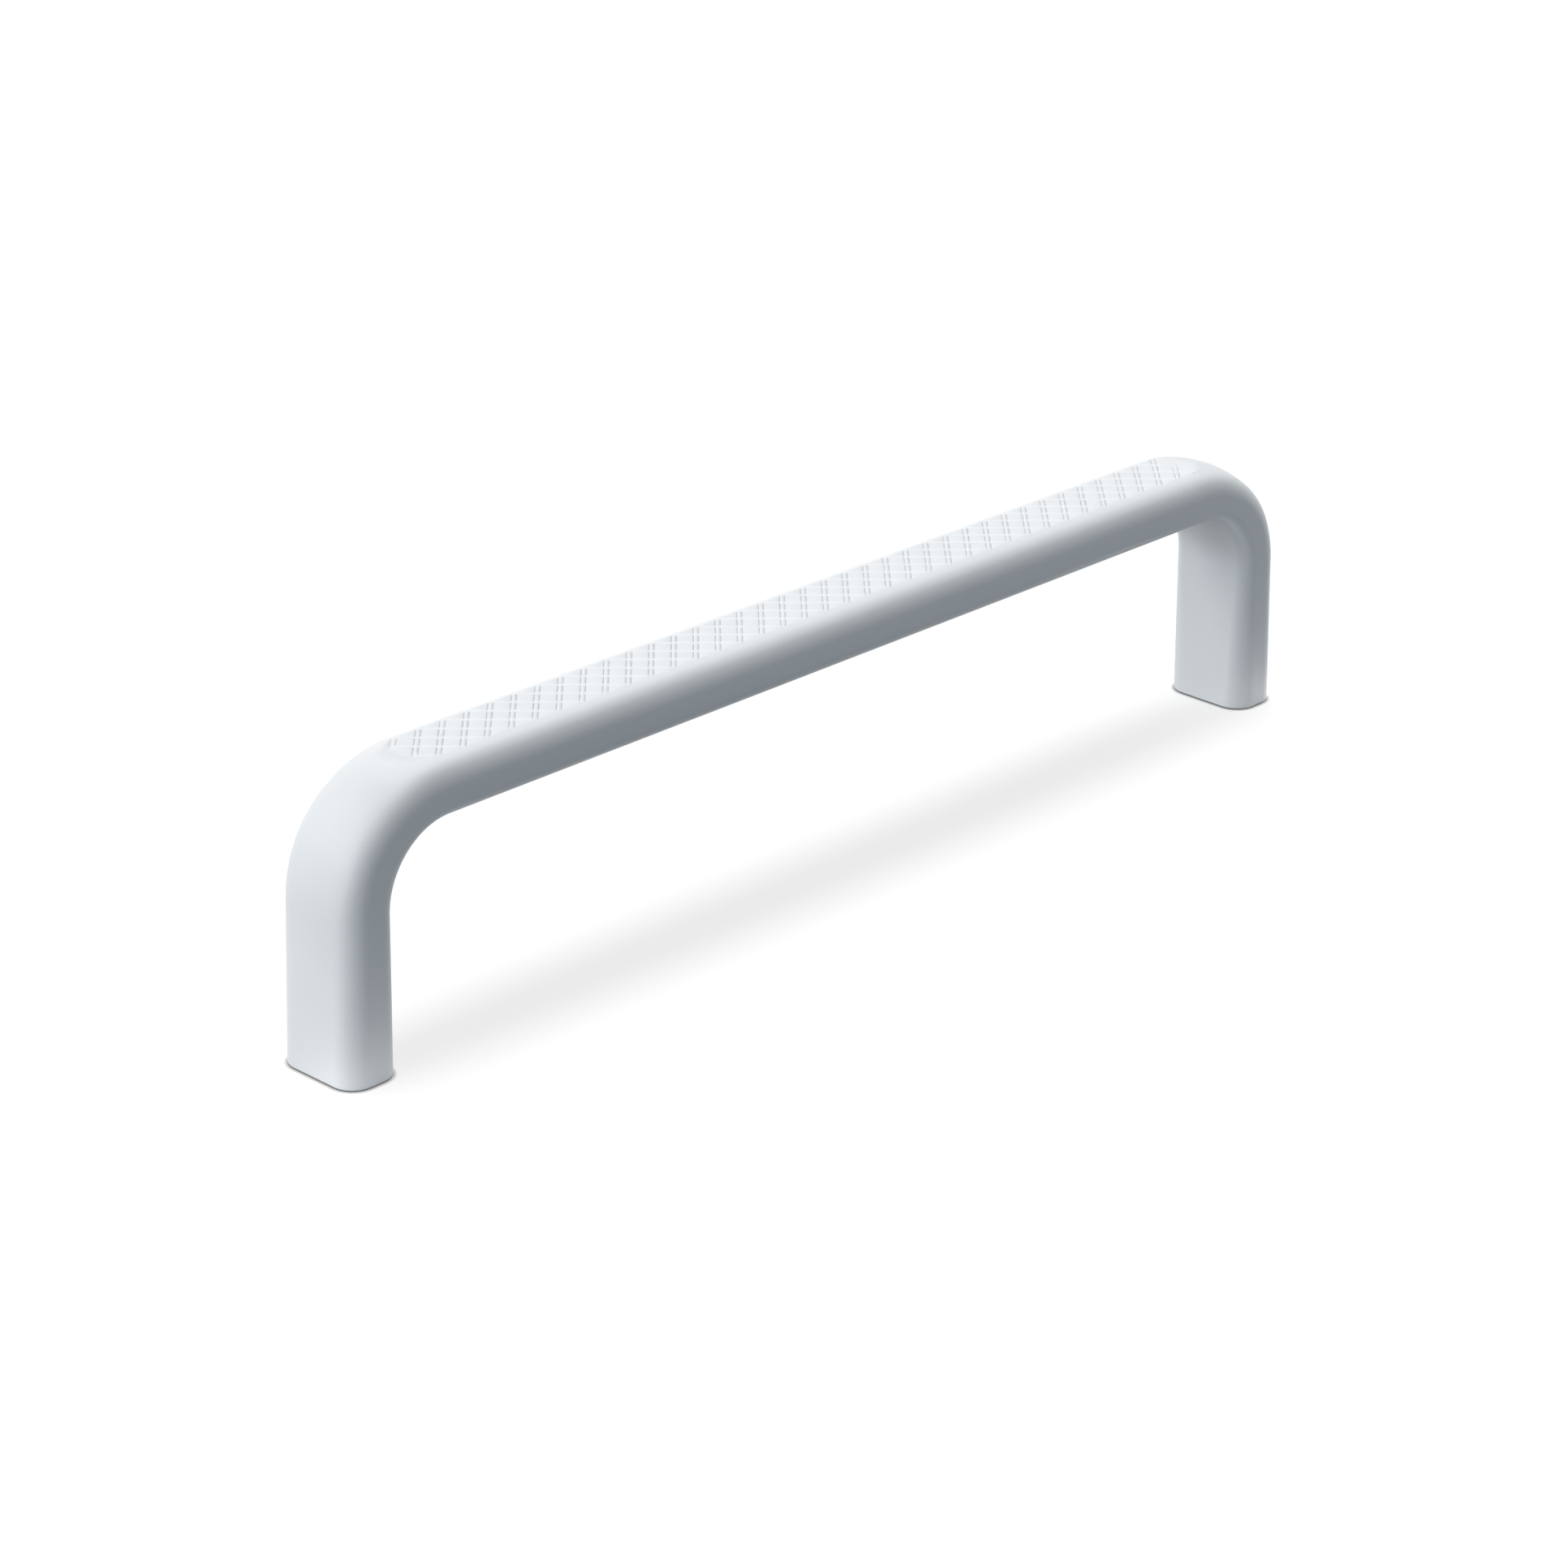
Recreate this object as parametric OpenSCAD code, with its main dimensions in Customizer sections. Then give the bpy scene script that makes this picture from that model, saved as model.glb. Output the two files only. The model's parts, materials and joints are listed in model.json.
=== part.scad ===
// White bow pull handle for a cabinet door or a drawer front.
// A moulded bow with a diamond grip panel on its outer face and a threaded bush in each foot.
// X runs along the bar, Y across it, and Z away from the panel that the handle is screwed to.
// The origin lies midway between the two fixing holes, in the plane of the feet.

/* [Bow] */
// Distance between the axes of the two fixing holes
hole_pitch = 160; // [96:32:320]
// Height of the grip panel above the feet
bow_h = 36.15; // [30:0.05:50]
// Thickness of the bar, before the panel is planed flat
bar_t = 7.3; // [5:0.1:9]
// Width of the bar
bar_w = 13; // [11:0.1:20]
// Inner radius of the two bends
bend_r = 9.1; // [6:0.1:14]
// Radius of the crown across the outer face of the bar
crown_r = 14; // [10:0.5:40]
// Edge radius on the outer face of the bar
outer_edge_r = 3; // [2:0.1:5]
// Edge radius on the finger side of the bar
inner_edge_r = 2; // [1:0.1:3]

/* [Feet] */
// Size of a foot along the bar
foot_l = 8; // [7:0.1:12]
// Size of a foot across the bar
foot_w = 13; // [10:0.1:18]
// Corner radius of a foot, seen from below
foot_r = 3; // [1:0.1:3.5]
// Softened lower edge of a foot
foot_edge = 0.3; // [0.1:0.05:0.8]

/* [Grip panel] */
// How far the flat panel is planed into the crown of the bar
panel_cut = 0.44; // [0.1:0.01:0.6]
// Least plain flat left at each end of the panel
panel_margin = 2.5; // [1:0.1:6]
// Spacing of the diamonds along the bar
diamond_pitch = 3.75; // [3:0.05:6]
// Depth of the grooves between the diamonds
groove_depth = 0.15; // [0.08:0.01:0.3]
// Width of a groove's flat floor
groove_floor = 0.45; // [0.2:0.05:0.8]

/* [Threaded bushes] */
// Outside diameter of the metric thread
thread_d = 4; // [3:0.5:5]
// Pitch of the thread
thread_pitch = 0.7; // [0.5:0.05:0.8]
// Wall of a bush outside its thread
bush_wall = 0.7; // [0.6:0.05:0.9]
// Length of a bush
bush_l = 9; // [7:0.5:12]
// Metal left behind the drill point
bush_end_wall = 1; // [0.6:0.1:2]
// How far a bush is set back from the face of the foot
bush_set_back = 0.2; // [0.1:0.05:0.5]
// Width of the retaining groove round a bush
bush_neck_w = 1.4; // [0.8:0.1:2]
// Depth of the retaining groove
bush_neck_depth = 0.45; // [0.2:0.05:0.6]
// Chamfer on both ends of a bush
bush_chamfer = 0.35; // [0.2:0.05:0.5]
// Gap left round a bush in its pocket
bush_gap = 0.02; // [0.01:0.01:0.05]

/* [Hidden] */
$fn = 96;
// Facets round a circle in the blended legs
hull_fn = 32;
// Thickness of the slices that a leg is blended from
slab = 0.02;
// How far a cut runs past the face that it opens
over = 1;
// Half angle of a drill point
drill_point = 59;

// The bow before its panel is planed flat
round_h = bow_h + panel_cut;
bend_outer_r = bend_r + bar_t;
bend_x = hole_pitch / 2 + bar_t / 2 - bend_outer_r;
bend_z = round_h - bend_outer_r;
straight_l = 2 * bend_x;

// The crown runs tangent into the outer edge radius
edge_y = bar_w / 2 - outer_edge_r;
crown_turn = asin(edge_y / (crown_r - outer_edge_r));
edge_depth = crown_r - (crown_r - outer_edge_r) * cos(crown_turn);

// The planed flat runs on past the straight of the bar, and the lattice fills it
// with whole and half diamonds up to a plain margin
panel_end = bend_x + sqrt(panel_cut * (2 * bend_outer_r - panel_cut));
half_diamonds = floor(4 * (panel_end - panel_margin) / diamond_pitch);
lattice_x1 = -ceil(half_diamonds / 2) * diamond_pitch / 2;
lattice_x2 = lattice_x1 + half_diamonds * diamond_pitch / 2;

// The grooves run out on the crown and the edge radius at both sides
floor_drop = panel_cut + groove_depth;
on_crown = floor_drop < crown_r * (1 - cos(crown_turn));
floor_half_w = on_crown
    ? sqrt(floor_drop * (2 * crown_r - floor_drop))
    : edge_y + sqrt(pow(outer_edge_r, 2) - pow(edge_depth - floor_drop, 2));
groove_reach = floor_half_w + groove_floor;

// The bush and its tapped hole
bush_r = thread_d / 2 + bush_wall;
thread_r = thread_d / 2;
core_r = (thread_d - thread_pitch) / 2;
point_h = core_r / tan(drill_point);
core_depth = bush_l - bush_end_wall - point_h;

// A quarter of a square less a quarter disc, to round a convex corner of a section
module corner_waste(r) {
    difference() {
        square(r + over);
        circle(r);
    }
}

// What lies outside the edge radius, between the end of the crown and the side
module edge_waste() {
    reach = outer_edge_r + over;
    difference() {
        polygon([
            [0, 0],
            [reach * cos(crown_turn), reach * sin(crown_turn)],
            [reach, reach],
            [0, reach]
        ]);
        circle(outer_edge_r);
    }
}

// What lies outside the crown
module crown_waste() {
    difference() {
        translate([bend_outer_r - edge_depth, -bar_w / 2 - over])
            square([edge_depth + over, bar_w + 2 * over]);
        translate([bend_outer_r - crown_r, 0])
            circle(crown_r);
    }
}

// Section of the bar and the bends, drawn at its distance from the centre of the bend
module bar_section() {
    difference() {
        translate([bend_r, -bar_w / 2])
            square([bar_t, bar_w]);
        crown_waste();
        for (side = [0, 1])
            mirror([0, side]) {
                translate([bend_outer_r - edge_depth, edge_y])
                    edge_waste();
                translate([bend_r + inner_edge_r, bar_w / 2 - inner_edge_r])
                    mirror([1, 0])
                        corner_waste(inner_edge_r);
            }
    }
}

module foot_section(inset) {
    r = foot_r - inset;
    difference() {
        square([foot_l - 2 * inset, foot_w - 2 * inset], center = true);
        for (x_side = [0, 1], y_side = [0, 1])
            mirror([x_side, 0])
                mirror([0, y_side])
                    translate([foot_l / 2 - foot_r, foot_w / 2 - foot_r])
                        corner_waste(r);
    }
}

module straight_bar() {
    translate([0, 0, bend_z])
        rotate([0, -90, 0])
            linear_extrude(straight_l, center = true)
                bar_section();
}

module right_bend() {
    translate([bend_x, 0, bend_z])
        rotate([90, 0, 0])
            rotate_extrude(angle = 90)
                bar_section();
}

// The leg blends from the section of the bend to the thicker foot
module right_leg() {
    hull() {
        translate([bend_x, 0, bend_z - slab])
            linear_extrude(slab)
                bar_section($fn = hull_fn);
        translate([hole_pitch / 2, 0, foot_edge])
            linear_extrude(slab)
                foot_section(0, $fn = hull_fn);
        translate([hole_pitch / 2, 0, 0])
            linear_extrude(slab)
                foot_section(foot_edge, $fn = hull_fn);
    }
}

// Bar along X whose sides slope outwards at 45 degrees from a flat floor
module flared_bar(floor_w, l) {
    rise = groove_depth + over;
    rotate([90, 0, 90])
        linear_extrude(l, center = true)
            polygon([
                [-floor_w / 2, 0],
                [floor_w / 2, 0],
                [floor_w / 2 + rise, rise],
                [-floor_w / 2 - rise, rise]
            ]);
}

// Straight groove between two crossings, with sloping sides, whose ends stop inside the grooves they meet
module groove(x1, x2, offset_x, lean) {
    run = (x2 - x1) * sqrt(2) + groove_floor / 2;
    mid_x = (x1 + x2) / 2;
    translate([mid_x, lean * (mid_x - offset_x), bow_h - groove_depth])
        rotate([0, 0, lean * 45])
            intersection() {
                flared_bar(groove_floor, run + bar_w);
                rotate([0, 0, 90])
                    flared_bar(run, bar_w);
            }
}

// Two sets of grooves at 45 degrees to the bar leave a field of raised diamonds
module diamond_grooves() {
    first = ceil((lattice_x1 - groove_reach) / diamond_pitch);
    last = floor((lattice_x2 + groove_reach) / diamond_pitch);
    for (lean = [-1, 1])
        for (i = [first : last]) {
            offset_x = i * diamond_pitch;
            x1 = max(lattice_x1, offset_x - groove_reach);
            x2 = min(lattice_x2, offset_x + groove_reach);
            groove(x1, x2, offset_x, lean);
        }
}

// Planes the top of the crown flat, so that the panel runs out in a crescent on each bend
module panel_waste() {
    translate([-hole_pitch / 2, -bar_w / 2, bow_h])
        cube([hole_pitch, bar_w, panel_cut + over]);
}

// Outside of a bush, grown by a gap to make its pocket
module bush_form(gap) {
    r = bush_r + gap;
    neck_r = r - bush_neck_depth;
    neck_z1 = bush_set_back + (bush_l - bush_neck_w) / 2 + gap;
    neck_z2 = neck_z1 + bush_neck_w - 2 * gap;
    end_z = bush_set_back + bush_l + gap;
    rotate_extrude()
        polygon([
            [0, bush_set_back],
            [r - bush_chamfer, bush_set_back],
            [r, bush_set_back + bush_chamfer],
            [r, neck_z1],
            [neck_r, neck_z1],
            [neck_r, neck_z2],
            [r, neck_z2],
            [r, end_z - bush_chamfer],
            [r - bush_chamfer, end_z],
            [0, end_z]
        ]);
}

module bush_pocket() {
    bush_form(bush_gap);
    translate([0, 0, -over])
        cylinder(r = bush_r - bush_chamfer + bush_gap, h = bush_set_back + over);
}

// Blind tapped hole with a countersunk mouth
module tapped_hole() {
    translate([0, 0, bush_set_back]) {
        translate([0, 0, -over])
            cylinder(r = core_r, h = core_depth + over);
        translate([0, 0, core_depth])
            cylinder(r1 = core_r, r2 = 0, h = point_h);
        cylinder(r1 = thread_r, r2 = core_r, h = thread_r - core_r);
    }
}

module bush() {
    difference() {
        bush_form(0);
        tapped_hole();
    }
}

module handle_bow() {
    color("white")
        difference() {
            union() {
                straight_bar();
                for (side = [0, 1])
                    mirror([side, 0, 0]) {
                        right_bend();
                        right_leg();
                    }
            }
            panel_waste();
            diamond_grooves();
            for (side = [-1, 1])
                translate([side * hole_pitch / 2, 0, 0])
                    bush_pocket();
        }
}

module left_bush() {
    color("goldenrod")
        translate([-hole_pitch / 2, 0, 0])
            bush();
}

module right_bush() {
    color("goldenrod")
        translate([hole_pitch / 2, 0, 0])
            bush();
}

handle_bow();
left_bush();
right_bush();
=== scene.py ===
"""White bow pull handle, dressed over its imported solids.

The bow is one moulded piece with soft edges and a diamond grip panel.
A threaded brass bush sits in each foot.
All lengths are metres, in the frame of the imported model.
"""

import json
from math import acos, asin, atan2, ceil, cos, floor, pi, radians, sin, sqrt, tan

import bmesh
import bpy
from bpy.props import FloatProperty, FloatVectorProperty, IntProperty, PointerProperty
from bpy.types import Operator, Panel, PropertyGroup
from mathutils import Matrix, Vector
from mathutils.geometry import delaunay_2d_cdt


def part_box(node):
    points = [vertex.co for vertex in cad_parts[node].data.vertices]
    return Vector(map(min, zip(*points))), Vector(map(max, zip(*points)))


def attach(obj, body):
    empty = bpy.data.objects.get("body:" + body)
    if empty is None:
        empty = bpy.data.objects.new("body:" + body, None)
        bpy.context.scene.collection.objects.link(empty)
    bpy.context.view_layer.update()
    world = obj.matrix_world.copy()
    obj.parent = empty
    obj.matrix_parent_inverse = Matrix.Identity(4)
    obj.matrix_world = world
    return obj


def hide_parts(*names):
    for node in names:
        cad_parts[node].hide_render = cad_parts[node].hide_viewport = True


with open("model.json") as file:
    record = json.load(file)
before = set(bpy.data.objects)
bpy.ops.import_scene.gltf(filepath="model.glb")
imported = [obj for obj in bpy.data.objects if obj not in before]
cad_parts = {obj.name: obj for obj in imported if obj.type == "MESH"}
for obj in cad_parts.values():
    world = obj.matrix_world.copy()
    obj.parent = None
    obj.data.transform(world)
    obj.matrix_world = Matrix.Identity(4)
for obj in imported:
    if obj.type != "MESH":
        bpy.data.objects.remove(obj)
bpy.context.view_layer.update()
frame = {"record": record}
BOW_LOW, BOW_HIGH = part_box("handle_bow")
# Millimetres in a metre
MILLIMETRES = 1000

bl_info = {
    "name": "Bow Pull Handle",
    "version": (1, 0, 0),
    "blender": (4, 5, 0),
    "location": "View3D > Sidebar > Handle",
    "description": "Dresses a white bow pull handle with its diamond grip panel and threaded bushes",
    "category": "Add Mesh",
}


def fixing_pitch():
    """Distance between the fixing holes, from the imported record."""
    for mount in frame["record"]["mounts"]:
        if mount["name"] == "fixing_holes":
            return mount["dims"]["spacing_x_mm"] / MILLIMETRES
    raise RuntimeError("the record has no fixing holes")


def slot_colour(slot):
    """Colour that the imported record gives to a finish."""
    for finish in frame["record"]["materials"]:
        if finish["slot"] == slot:
            return tuple(finish["base_color"])
    raise RuntimeError("the record has no finish named " + slot)


def length_size(name, description, default):
    """Property for a length in metres."""
    return FloatProperty(name=name, description=description, default=default, unit="LENGTH", precision=6)


def angle_size(name, description, degrees):
    """Property for an angle, whose default is given in degrees."""
    return FloatProperty(name=name, description=description, default=radians(degrees), subtype="ANGLE")


def finish_colour(name, description, slot):
    """Property for the colour of a finish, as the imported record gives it."""
    return FloatVectorProperty(
        name=name,
        description=description,
        default=slot_colour(slot),
        min=0.0,
        max=1.0,
        size=3,
        subtype="COLOR",
    )


def finish_roughness(name, description, default):
    """Property for the roughness of a finish."""
    return FloatProperty(
        name=name, description=description, default=default, min=0.0, max=1.0, subtype="FACTOR"
    )


class BowSizes(PropertyGroup):
    """Sizes of the moulded bow."""

    hole_pitch: length_size(
        "Hole pitch", "Distance between the axes of the two fixing holes", fixing_pitch()
    )
    bow_height: length_size(
        "Height", "Height of the grip panel above the feet", BOW_HIGH[2] - BOW_LOW[2]
    )
    bar_width: length_size("Bar width", "Width of the bar and the bends", BOW_HIGH[1] - BOW_LOW[1])
    bar_thickness: length_size(
        "Bar thickness", "Thickness of the bar before its panel is planed flat", 0.0073
    )
    bend_radius: length_size("Bend radius", "Inner radius of the two bends", 0.0091)
    crown: length_size("Crown radius", "Radius of the crown across the outer face of the bar", 0.014)
    outer_edge: length_size("Outer edge radius", "Edge radius on the outer face of the bar", 0.003)
    inner_edge: length_size("Inner edge radius", "Edge radius on the finger side of the bar", 0.002)
    foot_length: length_size("Foot length", "Size of a foot along the bar", 0.008)
    foot_width: length_size("Foot width", "Size of a foot across the bar", 0.013)
    foot_corner: length_size("Foot corner radius", "Corner radius of a foot, seen from below", 0.003)
    foot_edge: length_size("Foot edge", "Rounding of the lower edge of a foot", 0.0003)


class PanelSizes(PropertyGroup):
    """Sizes of the diamond grip panel."""

    plane_cut: length_size(
        "Plane cut", "How far the flat panel is planed into the crown of the bar", 0.00044
    )
    end_margin: length_size("End margin", "Least plain flat left at each end of the panel", 0.0025)
    diamond_pitch: length_size("Diamond pitch", "Spacing of the diamonds along the bar", 0.00375)
    lattice_shift: length_size(
        "Lattice shift", "How far the lattice lies from the middle of the bar", 0.00036
    )
    groove_depth: length_size("Groove depth", "Depth of the grooves between the diamonds", 0.00015)
    groove_place: length_size(
        "Groove place", "Distance of the two grooves of a pair from the middle between them", 0.00031
    )
    groove_width: length_size("Groove width", "Width of a fine groove at its top", 0.00022)
    land_depth: length_size(
        "Land depth", "Depth of the land between the two grooves of a pair", 0.00003
    )
    strip_depth: length_size("Strip depth", "Depth of the strips that cross the grooves", 0.00003)


class BushSizes(PropertyGroup):
    """Sizes of a threaded bush."""

    thread_diameter: length_size("Thread diameter", "Outside diameter of the metric thread", 0.004)
    thread_pitch: length_size("Thread pitch", "Pitch of the metric thread", 0.0007)
    wall: length_size("Wall", "Wall of a bush outside its thread", 0.0007)
    length: length_size("Length", "Length of a bush", 0.009)
    set_back: length_size("Set back", "How far a bush is set back from the face of the foot", 0.0002)
    end_wall: length_size("End wall", "Metal left behind the drill point", 0.001)
    neck_width: length_size("Neck width", "Width of the retaining groove round a bush", 0.0014)
    neck_depth: length_size("Neck depth", "Depth of the retaining groove", 0.00045)
    chamfer: length_size("Chamfer", "Chamfer on both ends of a bush", 0.00035)
    gap: length_size("Gap", "Gap left round a bush in its pocket", 0.00002)
    knurl_teeth: IntProperty(
        name="Knurl teeth",
        description="Number of teeth round the knurled lands",
        default=24,
        min=8,
    )
    knurl_depth: length_size("Knurl depth", "Depth of the knurling", 0.00014)


class Finishes(PropertyGroup):
    """Colours and gloss of the two materials."""

    polymer_colour: finish_colour("Polymer", "Colour of the moulded polymer", "white_polymer")
    polymer_roughness: finish_roughness(
        "Polymer roughness", "Roughness of the satin moulded surface", 0.32
    )
    brass_colour: finish_colour("Brass", "Colour of the turned brass", "brass")
    brass_roughness: finish_roughness("Brass roughness", "Roughness of the turned brass", 0.28)


class StageSettings(PropertyGroup):
    """Camera, lamps and floor."""

    camera_azimuth: angle_size(
        "Camera azimuth", "Turn of the camera round the handle, from the front", -46.3246
    )
    camera_elevation: angle_size(
        "Camera elevation", "Height of the camera above the floor, as an angle", 23.3865
    )
    camera_roll: angle_size("Camera roll", "Tilt of the camera about its own axis", 0.4360)
    camera_distance: length_size(
        "Camera distance", "Distance from the camera to the point that it looks at", 0.577471
    )
    camera_target: FloatVectorProperty(
        name="Camera target",
        description="Point that the camera looks at",
        default=(-0.0066688, 0.0, 0.0129152),
        size=3,
        subtype="TRANSLATION",
        unit="LENGTH",
        precision=5,
    )
    camera_lens: FloatProperty(
        name="Lens",
        description="Focal length of the camera, in millimetres on a 36 mm sensor",
        default=106.8945,
        unit="CAMERA",
    )
    lamp_level: FloatProperty(
        name="Lamp level",
        description="Factor on the strength of all lamps",
        default=1.0,
        min=0.0,
        subtype="FACTOR",
    )
    floor_reach: length_size("Floor", "Half width of the floor", 4.0)


# Slack in comparing turns and lengths, and the shortest line worth drawing
NEAR = 1e-6
VERY_NEAR = 1e-7
LEAST_LINE = 1e-5


def clamped(share):
    """A share held between nought and one."""
    return max(0.0, min(1.0, share))


class BowForm:
    """Lengths and curves of the bow that follow from its sizes."""

    # Where the panel's skin meets the swept faces, across the bar and along a bend
    JOIN_TURN = radians(50)
    END_TURN = radians(24)
    # The outer face turns flatter along a bend up to this turn, and stays so on the leg
    FLAT_TURN = radians(64)
    LEG_FLATNESS = 0.45
    # Painted shade in the grooves and painted highlight on the strips of the lattice, and painted shade
    # in the band where the panel runs out
    PAINTED_GROOVE_SHADE = 0.24
    PAINTED_STRIP_HIGHLIGHT = 0.05
    PAINTED_END_DARKNESS = 0.07
    PAINTED_END_BAND = 0.0014
    PAINTED_GROOVE_END_FADE = 0.003
    PAINTED_END_POWER = 4
    # Share of a fine groove's width that is its flat root
    ROOT_SHARE = 0.15
    # Steps in which the faces are cut
    BEND_STEP = radians(4)
    OUTER_STEP = radians(8)
    INNER_STEP = radians(9)
    CREASE_SOFT = radians(0.25)
    RUNOUT_MARGIN = radians(1)
    EDGE_MARGIN = radians(0.5)
    CROWN_STEPS = 4
    EDGE_STEPS = 6
    BAR_STEPS = 36
    LEG_STEPS = 10
    FOOT_STEPS = 3
    CRESCENT_STEPS = 8
    # Rows of crossings on each side of the middle of the bar
    CROSSING_ROWS = 2

    def __init__(self, sizes, panel, bush):
        self.sizes = sizes
        self.panel = panel
        self.bush = bush
        self.top = sizes.bow_height
        self.crest = sizes.bow_height + panel.plane_cut
        self.half_width = sizes.bar_width / 2
        self.outer_r = sizes.bend_radius + sizes.bar_thickness
        self.bend_x = sizes.hole_pitch / 2 + sizes.bar_thickness / 2 - self.outer_r
        self.bend_z = self.crest - self.outer_r
        self.edge_y = self.half_width - sizes.outer_edge
        centres = sizes.crown - sizes.outer_edge
        self.crown_turn = asin(self.edge_y / centres)
        self.edge_depth = sizes.crown - centres * cos(self.crown_turn)
        self.crease_turn = self.turn_at_drop(panel.plane_cut)
        self.runout_turn = self.turn_at_drop(panel.plane_cut + panel.groove_depth)
        self.reach_turn = self.runout_turn + self.RUNOUT_MARGIN
        cut = panel.plane_cut
        panel_end = self.bend_x + sqrt(cut * (2 * self.outer_r - cut))
        half_pitch = panel.diamond_pitch / 2
        half_diamonds = floor(2 * (panel_end - panel.end_margin) / half_pitch)
        self.first_column = -ceil(half_diamonds / 2)
        self.last_column = self.first_column + half_diamonds
        self.lattice_start = self.first_column * half_pitch + panel.lattice_shift
        self.lattice_end = self.last_column * half_pitch + panel.lattice_shift
        self.outer_turns = self.edge_turns()

    def turn_at_drop(self, drop):
        """Turn of the outer face where it lies a drop below the crest."""
        turn = acos(1 - drop / self.sizes.crown)
        if turn <= self.crown_turn:
            return turn
        return acos((self.edge_depth - drop) / self.sizes.outer_edge)

    def drop_at_turn(self, turn):
        """How far the outer face lies below the crest where its normal has a turn."""
        if turn <= self.crown_turn:
            return self.sizes.crown * (1 - cos(turn))
        return self.edge_depth - self.sizes.outer_edge * cos(turn)

    def across(self, turn):
        """Place across the bar where the normal of the outer face has a turn."""
        if turn <= self.crown_turn:
            return self.sizes.crown * sin(turn)
        return self.edge_y + self.sizes.outer_edge * sin(turn)

    def bar_places(self):
        """Places along the straight of the bar where its faces are cut."""
        return [self.bend_x * (2 * step / self.BAR_STEPS - 1) for step in range(self.BAR_STEPS + 1)]

    def edge_turns(self):
        """Turns at which the crown and the outer edge round are cut into faces."""
        crease = self.crease_turn
        runout = self.runout_turn
        turns = [crease * step / self.CROWN_STEPS for step in range(self.CROWN_STEPS + 1)]
        turns += [crease + self.CREASE_SOFT, (crease + runout) / 2, runout, self.reach_turn]
        start = max(self.crown_turn, self.reach_turn + self.EDGE_MARGIN)
        for step in range(self.EDGE_STEPS + 1):
            turns.append(start + (self.JOIN_TURN - start) * step / self.EDGE_STEPS)
        turn = self.JOIN_TURN
        while turn < pi / 2 - NEAR:
            turn = min(turn + self.OUTER_STEP, pi / 2)
            turns.append(turn)
        return turns

    def ring(self):
        """Points round the section, as edge, side and turn of the normal from the outer face."""
        inner_count = round(pi / 2 / self.INNER_STEP)
        inner_turns = [pi / 2 + pi / 2 * step / inner_count for step in range(inner_count + 1)]
        points = [("outer", 1, turn) for turn in self.outer_turns]
        points += [("inner", 1, turn) for turn in inner_turns]
        points += [("inner", -1, turn) for turn in reversed(inner_turns)]
        points += [("outer", -1, turn) for turn in reversed(self.outer_turns[1:])]
        return points

    def flat_turn(self, turn):
        """Turn on the edge round of a flat outer face, at the place that has a turn on the crown."""
        if turn > self.crown_turn:
            return turn
        return asin(max(0.0, self.across(turn) - self.edge_y) / self.sizes.outer_edge)

    def section_point(self, point, flatness):
        """Distance from the axis of the bend, and place across the bar.

        The outer face is crowned at flatness 0 and flat at flatness 1.
        """
        edge, side, turn = point
        if edge == "outer":
            flat_drop = self.sizes.outer_edge * (1 - cos(self.flat_turn(turn)))
            drop = self.drop_at_turn(turn) * (1 - flatness) + flat_drop * flatness
            return self.outer_r - drop, side * self.across(turn)
        radius = self.sizes.inner_edge
        away = self.sizes.bend_radius + radius + radius * cos(turn)
        return away, side * (self.half_width - radius + radius * sin(turn))

    def foot_point(self, point, inset):
        """Matching place on the foot, measured from the axis of the hole."""
        edge, side, turn = point
        corner = self.sizes.foot_corner
        centre = self.sizes.foot_length / 2 - corner
        middle = self.sizes.foot_width / 2 - corner
        if edge == "inner":
            centre = -centre
        else:
            turn = self.flat_turn(turn)
        along = centre + (corner - inset) * cos(turn)
        if edge == "outer" and turn == 0.0:
            return along, side * self.across(point[2])
        return along, side * (middle + (corner - inset) * sin(turn))

    def on_bar(self, x, point):
        away, y = self.section_point(point, 0.0)
        return Vector((x, y, self.bend_z + away))

    def on_bend(self, side, turn, point):
        """Point on a bend, whose outer face turns flatter beyond the panel."""
        share = clamped((turn - self.END_TURN) / (self.FLAT_TURN - self.END_TURN))
        away, y = self.section_point(point, self.LEG_FLATNESS * share * share * (3 - 2 * share))
        return Vector((side * (self.bend_x + away * sin(turn)), y, self.bend_z + away * cos(turn)))

    def on_leg(self, side, share, point):
        """Point on a leg, from the bend at share 0 to the edge of the foot at share 1."""
        away, y = self.section_point(point, self.LEG_FLATNESS)
        along, foot_y = self.foot_point(point, 0)
        x = (self.bend_x + away) * (1 - share) + (self.sizes.hole_pitch / 2 + along) * share
        z = self.bend_z * (1 - share) + self.sizes.foot_edge * share
        return Vector((side * x, y * (1 - share) + foot_y * share, z))

    def on_foot_edge(self, side, turn, point):
        """Point on the rounded lower edge of a foot."""
        edge = self.sizes.foot_edge
        along, y = self.foot_point(point, edge * (1 - cos(turn)))
        return Vector((side * (self.sizes.hole_pitch / 2 + along), y, edge * (1 - sin(turn))))

    def edge_drop(self, y):
        """How far the outer face lies below the crest at a place across the bar."""
        y = abs(y)
        if y <= self.across(self.crown_turn):
            crown = self.sizes.crown
            return crown - sqrt(crown * crown - y * y)
        edge = self.sizes.outer_edge
        past = y - self.edge_y
        return self.edge_depth - sqrt(max(0.0, edge * edge - past * past))

    def groove_span(self, index, lean):
        """Offset of a groove along the bar, and where it starts and ends across the bar."""
        offset = index * self.panel.diamond_pitch + self.panel.lattice_shift
        reach = self.groove_reach()
        starts = []
        for y in (-reach, reach):
            x = offset + lean * y
            x = max(self.lattice_start, min(self.lattice_end, x))
            starts.append(lean * (x - offset))
        return offset, min(starts), max(starts)

    def groove_reach(self):
        return self.across(self.reach_turn)

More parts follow.
